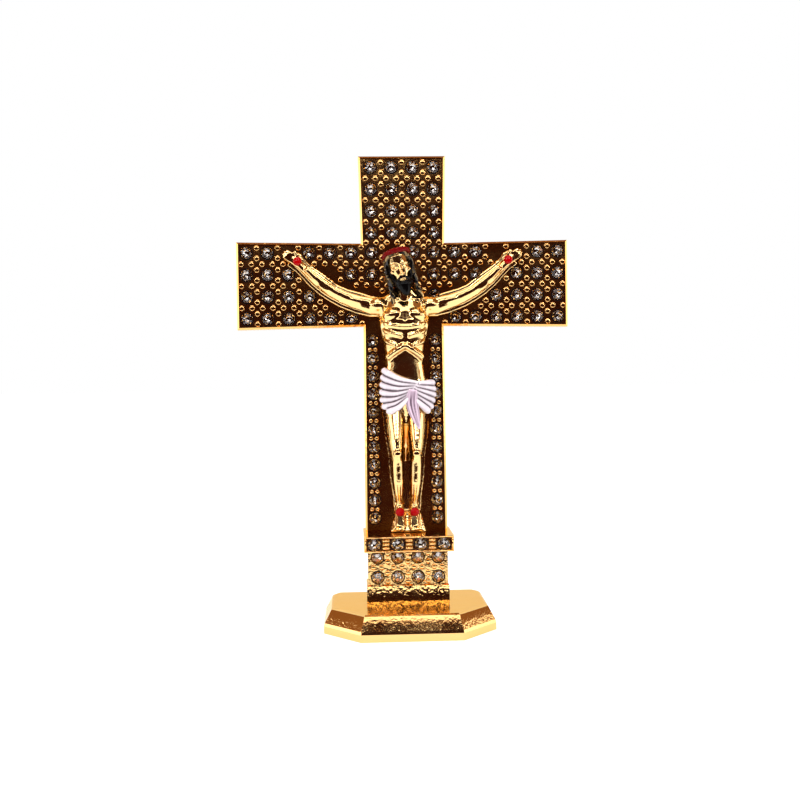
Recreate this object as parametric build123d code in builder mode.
# Table crucifix: a stone-set cross with a cast figure, on a plinth and an octagonal base.
# Millimetres. +Z is up, the front faces -Y, and the origin is the centre of the base's underside.

import os
from math import atan2, cos, degrees, hypot, pi, sin

from build123d import *

os.makedirs("parts", exist_ok=True)

# Base: octagonal casting with an upright band and a sloped shoulder
base_width = 39.2
base_depth = 29.6
base_height = 5.6
base_band_height = 2.0
base_top_inset = 1.9
front_cut_width = 8.3
front_cut_depth = 9.4
rear_cut_width = 2.4
rear_cut_depth = 3.6
base_edge_round = 0.35

# Plinth: upright block behind the middle of the base
plinth_width = 18.7
plinth_depth = 8.6
plinth_height = 12.4
plinth_front = 1.6
plinth_band_height = 3.75
plinth_band_stand = 0.3
plinth_panel_rim = 0.5
plinth_panel_depth = 0.3
plinth_stone_side_margin = 0.85
plinth_stone_foot_margin = 0.3
plinth_stone_top_margin = 0.9

# Foot shelf: rimmed slab on the plinth
shelf_width = 20.6
shelf_height = 3.6
shelf_overhang = 6.8
shelf_corner_round = 0.9
shelf_rim = 0.3
shelf_panel_depth = 0.25
shelf_stone_side_margin = 0.95

# Cross: flat plate with arms that widen a little towards their ends
cross_height = 88.4
arm_centre_height = 58.1
arm_span = 78.4
arm_height_at_shaft = 19.6
arm_height_at_end = 20.6
top_width_at_arms = 19.7
top_width_at_end = 20.6
shaft_width_at_arms = 19.0
shaft_width_at_foot = 19.5
cross_thickness = 3.6
cross_setback = 4.2
rim_width = 0.55
rim_height = 0.5
rim_chamfer = 0.45
rail_ridge_width = 0.45
rail_ridge_height = 0.4
rail_ridge_gap = 0.55

# Tang under the cross, and what it passes through
tang_width = 12.0
tang_thickness = 2.4
tang_depth_in_plinth = 5.2
tang_clearance = 0.05
tang_end_gap = 0.3

# Stones: pointed-back chatons with eight crown facets
stone_diameter = 2.8
stone_sides = 8
stone_table_diameter = 1.5
stone_crown_height = 0.5
stone_girdle_height = 0.14
stone_back_depth = 1.0
glue_gap = 0.05
stone_margin = 0.1
arm_end_margin = 0.35
arm_rows = 4
arm_columns = 8
top_rows = 4
block_columns = 4
rail_count = 11
rail_foot_margin = 2.8
rail_top_margin = 3.4

# Screw, washer and pins between base and plinth
screw_diameter = 3.0
screw_length = 8.0
screw_head_diameter = 5.6
screw_head_height = 1.9
screw_slot_width = 0.8
screw_slot_depth = 0.8
screw_hole_clearance = 0.2
thread_clearance = 0.02
washer_diameter = 7.0
washer_thickness = 0.5
counterbore_clearance = 0.3
head_recess = 0.3
pin_diameter = 1.6
pin_length = 4.0
pin_spacing = 12.0
pin_clearance = 0.02

# Figure: the drop and the stone pitch that its stations are given for, its sections, pegs and nails
figure_drop = 58.1
figure_pitch = 4.92
figure_sides = 12
peg_diameter = 1.6
peg_length = 1.8
peg_clearance = 0.05
chest_peg_drop = 6.5
hip_peg_drop = 22.5
nail_head_diameter = 2.3
nail_head_height = 0.75
nail_head_bevel = 0.5
nail_shank_diameter = 0.9
nail_shank_length = 1.0

# Levels, one above the other
plinth_bottom = base_height
plinth_top = plinth_bottom + plinth_height
shelf_top = plinth_top + shelf_height
cross_top = shelf_top + cross_height
arm_z = shelf_top + arm_centre_height
arm_top = arm_z + arm_height_at_shaft / 2
arm_bottom = arm_z - arm_height_at_shaft / 2

# Depths, from the front of the shelf to the back of the plinth
plinth_back = plinth_front + plinth_depth
plinth_middle = (plinth_front + plinth_back) / 2
plinth_panel_y = plinth_front + plinth_panel_depth
shelf_front = plinth_front - shelf_overhang
shelf_panel_y = shelf_front + shelf_panel_depth
cross_front = plinth_front + cross_setback
cross_back = cross_front + cross_thickness
field_y = cross_front + rim_height
tang_y = (cross_front + cross_back) / 2

# Stone places, as points on the front planes: across, then up
stone_radius = stone_diameter / 2
seat_radius = stone_radius + glue_gap
column_pitch = (arm_span / 2 - rim_width - arm_end_margin - stone_radius) / (arm_columns - 0.5)
row_pitch = (arm_height_at_shaft - 2 * (rim_width + stone_margin + stone_radius)) / (arm_rows - 1)
top_pitch = (cross_top - arm_top) / top_rows
edge_column = shaft_width_at_arms / 2 - rim_width - stone_margin - stone_radius
rail_pitch = (arm_bottom - shelf_top - rail_foot_margin - rail_top_margin) / (rail_count - 1)
channel_half_width = edge_column - stone_radius - rail_ridge_gap

# Cells that the figure covers, for each row from the top, counted from the shaft outwards
left_bare_cells = [(1, 6), (1, 4, 5), (1, 2, 3, 4), (1, 2)]
right_bare_cells = [(5, 6), (1, 5), (1, 3, 4), (1, 2)]


def spread(count, half_width):
    return [half_width * (2 * index / (count - 1) - 1) for index in range(count)]


def arm_cells(side, bare_cells):
    cells = []
    for row, bare in enumerate(bare_cells):
        height = arm_z + row_pitch * ((arm_rows - 1) / 2 - row)
        for column in range(1, arm_columns + 1):
            if column not in bare:
                cells.append((side * column_pitch * (column - 0.5), height))
    return cells


top_rows_z = [arm_top + top_pitch * (row + 0.5) for row in range(top_rows)]
top_cells = [(x, z) for x in spread(block_columns, edge_column) for z in top_rows_z]
left_arm_cells = arm_cells(-1, left_bare_cells)
right_arm_cells = arm_cells(1, right_bare_cells)
rail_rows = [shelf_top + rail_foot_margin + rail_pitch * index for index in range(rail_count)]
left_rail_cells = [(-edge_column, z) for z in rail_rows]
right_rail_cells = [(edge_column, z) for z in rail_rows]
shelf_stone_x = shelf_width / 2 - shelf_stone_side_margin - stone_radius
shelf_cells = [(x, plinth_top + shelf_height / 2) for x in spread(block_columns, shelf_stone_x)]
plinth_stone_x = plinth_width / 2 - plinth_stone_side_margin - stone_radius
plinth_low_row = plinth_bottom + plinth_band_height + plinth_stone_foot_margin + stone_radius
plinth_high_row = plinth_top - plinth_stone_top_margin - stone_radius
plinth_rows = (plinth_low_row, plinth_high_row)
plinth_cells = [(x, z) for x in spread(block_columns, plinth_stone_x) for z in plinth_rows]


def front_plane(y, x=0, z=0):
    return Plane(origin=(x, y, z), x_dir=(1, 0, 0), z_dir=(0, -1, 0))


def facet_ring(from_point, to_point):
    # Cuts eight flat facets through two points, given as distance from the axis and height
    across = to_point[0] - from_point[0]
    rise = to_point[1] - from_point[1]
    outward = abs(rise)
    upward = across if rise < 0 else -across
    for index in range(stone_sides):
        angle = 2 * pi * index / stone_sides
        normal = (outward * cos(angle), outward * sin(angle), upward)
        edge_middle = (from_point[0] * cos(angle), from_point[0] * sin(angle), from_point[1])
        split(bisect_by=Plane(edge_middle, z_dir=normal), keep=Keep.BOTTOM)


def stone_blank(radius, bottom, top):
    with BuildSketch(Plane.XY.offset(bottom)) as blank:
        RegularPolygon(radius, stone_sides, rotation=180 / stone_sides)
    extrude(blank.sketch, amount=top - bottom)


flat_share = cos(pi / stone_sides)
girdle_flat = stone_radius * flat_share
table_flat = stone_table_diameter / 2 * flat_share
stone_top = stone_girdle_height + stone_crown_height
seat_depth = stone_back_depth + 2 * glue_gap

# One chaton: its girdle starts at the seat's plane, with the crown in front and the point behind
with BuildPart() as chaton:
    stone_blank(stone_radius, -stone_back_depth, stone_top)
    facet_ring((girdle_flat, stone_girdle_height), (table_flat, stone_top))
    facet_ring((girdle_flat, 0), (0, -stone_back_depth))

# The seat that a chaton is glued into
with BuildPart() as seat:
    stone_blank(seat_radius, -seat_depth, 0)
    facet_ring((seat_radius * flat_share, 0), (0, -seat_depth))


def stone_seats(y, cells):
    with Locations(*[front_plane(y, x, z) for x, z in cells]):
        add(seat.part, mode=Mode.SUBTRACT)


def base_outline():
    right = [
        (base_width / 2 - front_cut_width, -base_depth / 2),
        (base_width / 2, -base_depth / 2 + front_cut_depth),
        (base_width / 2, base_depth / 2 - rear_cut_depth),
        (base_width / 2 - rear_cut_width, base_depth / 2),
    ]
    left = [(-x, y) for x, y in reversed(right)]
    Polygon(*right, *left, align=None)


base_slope = degrees(atan2(base_top_inset, base_height - base_band_height))
screw_seat_z = head_recess + screw_head_height + washer_thickness
pin_places = [(-pin_spacing / 2, plinth_middle), (pin_spacing / 2, plinth_middle)]

# Base: band, sloped shoulder, counterbored screw hole from below and two pin holes on top
with BuildPart() as base:
    with BuildSketch():
        base_outline()
    extrude(amount=base_band_height)
    with BuildSketch(Plane.XY.offset(base_band_height)):
        base_outline()
    extrude(amount=base_height - base_band_height, taper=base_slope)
    shoulder_edges = base.faces().sort_by(Axis.Z)[-1].edges()
    band_edges = base.edges().filter_by_position(Axis.Z, base_band_height, base_band_height)
    chamfer(shoulder_edges + band_edges, length=base_edge_round)
    with Locations((0, plinth_middle, 0)):
        Cylinder(washer_diameter / 2 + counterbore_clearance, screw_seat_z,
                 align=(Align.CENTER, Align.CENTER, Align.MIN), mode=Mode.SUBTRACT)
        Cylinder(screw_diameter / 2 + screw_hole_clearance, base_height,
                 align=(Align.CENTER, Align.CENTER, Align.MIN), mode=Mode.SUBTRACT)
    with Locations(*[(x, y, base_height) for x, y in pin_places]):
        Cylinder(pin_diameter / 2 + pin_clearance, pin_length / 2 + pin_clearance,
                 align=(Align.CENTER, Align.CENTER, Align.MAX), mode=Mode.SUBTRACT)

# Screw: slotted pan head below, plain shank for the thread
with BuildPart() as base_screw:
    with Locations((0, plinth_middle, head_recess)):
        Cylinder(screw_head_diameter / 2, screw_head_height,
                 align=(Align.CENTER, Align.CENTER, Align.MIN))
    head_rim = base_screw.edges().sort_by(Axis.Z)[0]
    chamfer(head_rim, length=screw_head_height / 3)
    with Locations((0, plinth_middle, head_recess + screw_head_height)):
        Cylinder(screw_diameter / 2, screw_length, align=(Align.CENTER, Align.CENTER, Align.MIN))
    with Locations((0, plinth_middle, head_recess)):
        Box(screw_head_diameter, screw_slot_width, screw_slot_depth,
            align=(Align.CENTER, Align.CENTER, Align.MIN), mode=Mode.SUBTRACT)

with BuildPart() as screw_washer:
    with Locations((0, plinth_middle, screw_seat_z)):
        Cylinder(washer_diameter / 2, washer_thickness, align=(Align.CENTER, Align.CENTER, Align.MAX))
        Cylinder(screw_diameter / 2 + screw_hole_clearance, washer_thickness,
                 align=(Align.CENTER, Align.CENTER, Align.MAX), mode=Mode.SUBTRACT)

with BuildPart() as locating_pins:
    with Locations(*[(x, y, base_height) for x, y in pin_places]):
        Cylinder(pin_diameter / 2, pin_length)

# Plinth: foot band, sunk front panel with stone seats, tang socket on top, screw and pin holes below
plinth_screw_depth = head_recess + screw_head_height + screw_length - plinth_bottom + tang_end_gap
with BuildPart() as plinth:
    with BuildSketch(Plane.XY.offset(plinth_bottom)):
        with Locations((0, plinth_middle)):
            Rectangle(plinth_width, plinth_depth)
    extrude(amount=plinth_height)
    with BuildSketch(Plane.XY.offset(plinth_bottom)):
        with Locations((0, plinth_middle)):
            Rectangle(plinth_width + 2 * plinth_band_stand, plinth_depth + 2 * plinth_band_stand)
    extrude(amount=plinth_band_height - plinth_band_stand)
    with BuildSketch(Plane.XY.offset(plinth_bottom + plinth_band_height - plinth_band_stand)):
        with Locations((0, plinth_middle)):
            Rectangle(plinth_width + 2 * plinth_band_stand, plinth_depth + 2 * plinth_band_stand)
    with BuildSketch(Plane.XY.offset(plinth_bottom + plinth_band_height)):
        with Locations((0, plinth_middle)):
            Rectangle(plinth_width, plinth_depth)
    loft(ruled=True)
    panel_height = plinth_height - plinth_band_height - plinth_panel_rim
    with BuildSketch(front_plane(plinth_front)):
        with Locations((0, plinth_bottom + plinth_band_height + panel_height / 2)):
            Rectangle(plinth_width - 2 * plinth_panel_rim, panel_height)
    extrude(amount=-plinth_panel_depth, mode=Mode.SUBTRACT)
    stone_seats(plinth_panel_y, plinth_cells)
    with BuildSketch(Plane.XY.offset(plinth_top)):
        with Locations((0, tang_y)):
            Rectangle(tang_width + 2 * tang_clearance, tang_thickness + 2 * tang_clearance)
    extrude(amount=-tang_depth_in_plinth - tang_end_gap, mode=Mode.SUBTRACT)
    with Locations((0, plinth_middle, plinth_bottom)):
        Cylinder(screw_diameter / 2 + thread_clearance, plinth_screw_depth,
                 align=(Align.CENTER, Align.CENTER, Align.MIN), mode=Mode.SUBTRACT)
    with Locations(*[(x, y, plinth_bottom) for x, y in pin_places]):
        Cylinder(pin_diameter / 2 + pin_clearance, pin_length / 2 + pin_clearance,
                 align=(Align.CENTER, Align.CENTER, Align.MIN), mode=Mode.SUBTRACT)

# Foot shelf: rounded slab, rimmed front with four stone seats, slot for the tang
with BuildPart() as foot_shelf:
    with BuildSketch(Plane.XY.offset(plinth_top)):
        with BuildLine():
            Polyline((-shelf_width / 2, shelf_front), (shelf_width / 2, shelf_front),
                     (shelf_width / 2, plinth_back), (-shelf_width / 2, plinth_back), close=True)
        make_face()
    extrude(amount=shelf_height)
    fillet(foot_shelf.edges().filter_by(Axis.Z), radius=shelf_corner_round)
    with BuildSketch(front_plane(shelf_front)):
        with Locations((0, plinth_top + shelf_height / 2)):
            RectangleRounded(shelf_width - 2 * shelf_corner_round, shelf_height - 2 * shelf_rim, shelf_rim)
    extrude(amount=-shelf_panel_depth, mode=Mode.SUBTRACT)
    stone_seats(shelf_panel_y, shelf_cells)
    with BuildSketch(Plane.XY.offset(shelf_top)):
        with Locations((0, tang_y)):
            Rectangle(tang_width + 2 * tang_clearance, tang_thickness + 2 * tang_clearance)
    extrude(amount=-shelf_height, mode=Mode.SUBTRACT)


def cross_outline(inset=0):
    right = [
        (shaft_width_at_foot / 2 - inset, shelf_top),
        (shaft_width_at_arms / 2 - inset, arm_bottom + inset),
        (arm_span / 2 - inset, arm_z - arm_height_at_end / 2 + inset),
        (arm_span / 2 - inset, arm_z + arm_height_at_end / 2 - inset),
        (top_width_at_arms / 2 - inset, arm_top - inset),
        (top_width_at_end / 2 - inset, cross_top - inset),
    ]
    left = [(-x, z) for x, z in reversed(right)]
    Polygon(*right, *left, align=None)


drop_share = arm_centre_height / figure_drop
reach_share = column_pitch / figure_pitch


def figure_level(height):
    # What hangs below the arms' middle keeps its share of the way down to the shelf
    return arm_z + height * (drop_share if height < 0 else 1)


peg_places = [(0, figure_level(-chest_peg_drop)), (0, figure_level(-hip_peg_drop))]

# Cross: bevelled rim round a sunk field, ridges beside the channel, seats, peg holes and tang
with BuildPart() as cross_body:
    with BuildSketch(front_plane(cross_back)):
        cross_outline()
    extrude(amount=cross_thickness)
    outer_edges = cross_body.faces().sort_by(Axis.Y)[0].edges()
    chamfer(outer_edges.filter_by(lambda edge: edge.center().Z > shelf_top + rim_width), length=rim_chamfer)
    with BuildSketch(front_plane(cross_front)):
        cross_outline(rim_width)
    extrude(amount=-rim_height, mode=Mode.SUBTRACT)
    for side in (-1, 1):
        ridge_x = side * (channel_half_width + rail_ridge_width / 2)
        with BuildSketch(front_plane(field_y)):
            with Locations((ridge_x, (shelf_top + arm_bottom + rim_width) / 2)):
                Rectangle(rail_ridge_width, arm_bottom - shelf_top - rim_width)
        extrude(amount=rail_ridge_height)
    stone_seats(field_y, top_cells + left_arm_cells + right_arm_cells)
    stone_seats(field_y, left_rail_cells + right_rail_cells)
    with BuildSketch(front_plane(field_y)):
        with Locations(*peg_places):
            Circle(peg_diameter / 2 + peg_clearance)
    extrude(amount=-peg_length - peg_clearance, mode=Mode.SUBTRACT)
    with BuildSketch(Plane.XY.offset(shelf_top)):
        with Locations((0, tang_y)):
            Rectangle(tang_width, tang_thickness)
    extrude(amount=-shelf_height - tang_depth_in_plinth)

# Figure stations: place across, place in front of the field, height above the arms' middle,
# half width (half height on the arms) and half depth
trunk = [
    (0, 2.5, -30.4, 4.5, 2.8),
    (0, 2.6, -25.0, 5.1, 3.1),
    (0, 2.2, -18.8, 4.4, 2.7),
    (0, 2.5, -12.5, 4.9, 3.5),
    (0, 2.5, -8.2, 5.5, 3.8),
    (0, 2.2, -5.4, 5.7, 3.0),
    (0, 2.1, -2.6, 3.2, 1.7),
]
leg = [
    (2.45, 2.5, -24.0, 2.3, 2.6),
    (2.4, 3.0, -30.0, 2.4, 3.2),
    (2.3, 3.8, -36.5, 2.0, 3.9),
    (2.2, 4.0, -40.0, 1.7, 4.3),
    (2.05, 3.6, -44.0, 1.5, 3.7),
    (1.9, 2.8, -48.4, 1.25, 2.9),
    (1.7, 2.5, -51.4, 0.95, 2.1),
    (1.65, 4.0, -54.4, 1.15, 2.2),
    (1.6, 5.4, -57.4, 1.4, 2.3),
]
arm = [
    (4.2, 2.1, -5.3, 2.4, 2.3),
    (8.0, 1.9, -5.1, 2.1, 2.1),
    (12.0, 1.7, -3.8, 1.8, 1.9),
    (16.2, 1.5, -2.0, 1.75, 1.7),
    (20.0, 1.4, 0.8, 1.85, 1.6),
    (23.4, 1.1, 3.9, 1.4, 1.3),
    (25.2, 1.0, 5.7, 1.35, 1.3),
    (27.8, 0.9, 6.6, 0.6, 1.1),
]
neck = [(-0.1, 2.3, -4.4, 2.1, 2.0), (-0.9, 3.9, 2.2, 1.8, 2.0)]
head = [
    (-0.05, 5.6, -0.7, 0.9, 1.1),
    (-0.45, 5.2, 1.0, 2.0, 2.3),
    (-1.3, 4.7, 4.4, 2.85, 3.5),
    (-1.95, 4.6, 7.0, 2.3, 2.8),
    (-2.15, 4.7, 8.1, 1.2, 1.4),
]
hair = [
    (0.1, 2.4, -4.4, 3.8, 1.8),
    (-0.4, 2.9, -0.8, 4.0, 3.0),
    (-1.1, 3.5, 3.2, 3.65, 3.4),
    (-1.7, 3.8, 6.4, 3.2, 3.6),
    (-2.1, 4.0, 8.3, 1.9, 2.2),
]
beard = [
    (0.3, 6.1, -2.6, 0.7, 0.8),
    (0.0, 6.1, -1.0, 1.6, 1.8),
    (-0.5, 5.9, 1.3, 1.85, 2.1),
]
cloth = [
    (0.2, 3.0, -30.2, 5.8, 4.5),
    (0.2, 2.9, -26.0, 6.1, 4.4),
    (0.1, 2.7, -22.0, 5.9, 4.2),
    (0.0, 2.5, -20.4, 5.4, 3.8),
]
cloth_tail = [
    (2.2, 7.6, -35.0, 0.9, 0.8),
    (1.9, 6.7, -30.0, 1.4, 1.3),
    (1.6, 5.9, -25.0, 1.0, 1.3),
]
crown_height = 6.5
crown_forward = 4.3
crown_shift = -1.85
crown_tilt = 14.0
crown_radius = 3.35
crown_thickness = 1.1
crown_bevel = 25.0
crown_sides = 18
nail_hand_place = (24.8, 5.5)
nail_hand_forward = 2.1
nail_foot_place = (1.65, -53.6)
nail_foot_forward = 5.3
footrest_height = 4.6
footrest_top_width = 6.2
footrest_foot_width = 8.6
footrest_top_depth = 2.6
footrest_foot_depth = 5.4


def oval(plane, half_width, half_depth):
    # Corners round an ellipse, with the sides in the same directions at each size
    step = 2 * pi / figure_sides
    turns = [step * index for index in range(figure_sides + 1)]
    reach = [hypot(half_width * cos(turn), half_depth * sin(turn)) for turn in turns]
    corners = []
    for here, ahead, near, far in zip(turns, turns[1:], reach, reach[1:]):
        across = (near * sin(ahead) - far * sin(here)) / sin(step)
        deep = (far * cos(here) - near * cos(ahead)) / sin(step)
        corners.append(plane.from_local_coords((across, deep, 0)))
    return corners


def faceted_loft(rings, mode):
    # The sides of two rings run parallel, so a flat face fits between them
    faces = [Face(Wire.make_polygon(rings[0])), Face(Wire.make_polygon(rings[-1]))]
    for low, high in zip(rings, rings[1:]):
        for index in range(figure_sides):
            after = (index + 1) % figure_sides
            faces.append(Face(Wire.make_polygon([low[index], low[after], high[after], high[index]])))
    add(Solid(Shell(faces)), mode=mode)


def body_form(stations, grow=0, side=1, mode=Mode.ADD):
    rings = []
    for x, forward, height, half_width, half_depth in stations:
        plane = Plane((side * x, field_y - forward, figure_level(height)))
        rings.append(oval(plane, half_width + grow, half_depth + grow))
    faceted_loft(rings, mode)


def arm_form(side):
    rings = []
    for x, forward, height, half_height, half_depth in arm:
        middle = (side * x * reach_share, field_y - forward, figure_level(height))
        rings.append(oval(Plane(middle, x_dir=(0, 1, 0), z_dir=(1, 0, 0)), half_depth, half_height))
    faceted_loft(rings, Mode.ADD)


flat_back = front_plane(field_y - glue_gap)
hand_planes = [
    front_plane(field_y - nail_hand_forward, side * nail_hand_place[0] * reach_share,
                figure_level(nail_hand_place[1]))
    for side in (-1, 1)
]
foot_planes = [
    front_plane(field_y - nail_foot_forward, side * nail_foot_place[0], figure_level(nail_foot_place[1]))
    for side in (-1, 1)
]


# One nail: bevelled head in front of the skin, shank behind it
with BuildPart() as nail:
    with BuildSketch():
        RegularPolygon(nail_head_diameter / 2, figure_sides)
    extrude(amount=nail_head_height)
    chamfer(nail.edges().group_by(Axis.Z)[-1], length=nail_head_bevel)
    with BuildSketch():
        RegularPolygon(nail_shank_diameter / 2, figure_sides)
    extrude(amount=-nail_shank_length)

# The recess and hole that a nail is glued into
with BuildPart() as nail_hole:
    with BuildSketch():
        RegularPolygon(nail_head_diameter / 2 + glue_gap, figure_sides)
    extrude(amount=nail_head_height)
    with BuildSketch():
        RegularPolygon(nail_shank_diameter / 2 + glue_gap, figure_sides)
    extrude(amount=-nail_shank_length - glue_gap)

# Figure: lofted trunk, legs, arms, neck and head with a flat back, pegs and a flared footrest
with BuildPart() as corpus:
    body_form(trunk)
    body_form(neck)
    body_form(head)
    for side in (-1, 1):
        body_form(leg, side=side)
        arm_form(side)
    with BuildSketch(Plane.XY.offset(shelf_top + glue_gap)):
        with Locations((0, field_y - footrest_foot_depth / 2)):
            Rectangle(footrest_foot_width, footrest_foot_depth)
    with BuildSketch(Plane.XY.offset(shelf_top + footrest_height)):
        with Locations((0, field_y - footrest_top_depth / 2)):
            Rectangle(footrest_top_width, footrest_top_depth)
    loft(ruled=True)
    split(bisect_by=flat_back, keep=Keep.TOP)
    with BuildSketch(flat_back):
        with Locations(*peg_places):
            Circle(peg_diameter / 2)
    extrude(amount=-peg_length)
    with Locations(*hand_planes, *foot_planes):
        add(nail_hole.part, mode=Mode.SUBTRACT)

with BuildPart() as loincloth:
    body_form(cloth)
    body_form(cloth_tail)
    split(bisect_by=flat_back, keep=Keep.TOP)
    body_form(trunk, grow=glue_gap, mode=Mode.SUBTRACT)
    for side in (-1, 1):
        body_form(leg, grow=glue_gap, side=side, mode=Mode.SUBTRACT)

with BuildPart() as hair_and_beard:
    body_form(hair)
    body_form(beard)
    split(bisect_by=flat_back, keep=Keep.TOP)
    for form in (head, neck, trunk):
        body_form(form, grow=glue_gap, mode=Mode.SUBTRACT)

crown_plane = Plane((crown_shift, field_y - crown_forward, arm_z + crown_height)).rotated((0, -crown_tilt, 0))
with BuildPart() as thorn_crown:
    with BuildSketch(crown_plane):
        RegularPolygon(crown_radius + crown_thickness / 2, crown_sides)
        RegularPolygon(crown_radius - crown_thickness / 2, crown_sides, mode=Mode.SUBTRACT)
    extrude(amount=crown_thickness / 2, both=True, taper=crown_bevel)
    split(bisect_by=flat_back, keep=Keep.TOP)
    body_form(hair, grow=glue_gap, mode=Mode.SUBTRACT)
    body_form(head, grow=glue_gap, mode=Mode.SUBTRACT)

with BuildPart() as hand_nails:
    with Locations(*hand_planes):
        add(nail.part)

with BuildPart() as foot_nails:
    with Locations(*foot_planes):
        add(nail.part)


def stones(y, cells):
    with Locations(*[front_plane(y, x, z) for x, z in cells]):
        add(chaton.part)


with BuildPart() as top_arm_stones:
    stones(field_y, top_cells)

with BuildPart() as left_arm_stones:
    stones(field_y, left_arm_cells)

with BuildPart() as right_arm_stones:
    stones(field_y, right_arm_cells)

with BuildPart() as left_rail_stones:
    stones(field_y, left_rail_cells)

with BuildPart() as right_rail_stones:
    stones(field_y, right_rail_cells)

with BuildPart() as shelf_stones:
    stones(shelf_panel_y, shelf_cells)

with BuildPart() as plinth_stones:
    stones(plinth_panel_y, plinth_cells)

pieces = {
    "base": base,
    "base_screw": base_screw,
    "screw_washer": screw_washer,
    "locating_pins": locating_pins,
    "plinth": plinth,
    "foot_shelf": foot_shelf,
    "cross_body": cross_body,
    "corpus": corpus,
    "loincloth": loincloth,
    "hair_and_beard": hair_and_beard,
    "thorn_crown": thorn_crown,
    "hand_nails": hand_nails,
    "foot_nails": foot_nails,
    "top_arm_stones": top_arm_stones,
    "left_arm_stones": left_arm_stones,
    "right_arm_stones": right_arm_stones,
    "left_rail_stones": left_rail_stones,
    "right_rail_stones": right_rail_stones,
    "shelf_stones": shelf_stones,
    "plinth_stones": plinth_stones,
}

for name, piece in pieces.items():
    piece.part.label = name
    export_step(piece.part, f"parts/{name}.step")
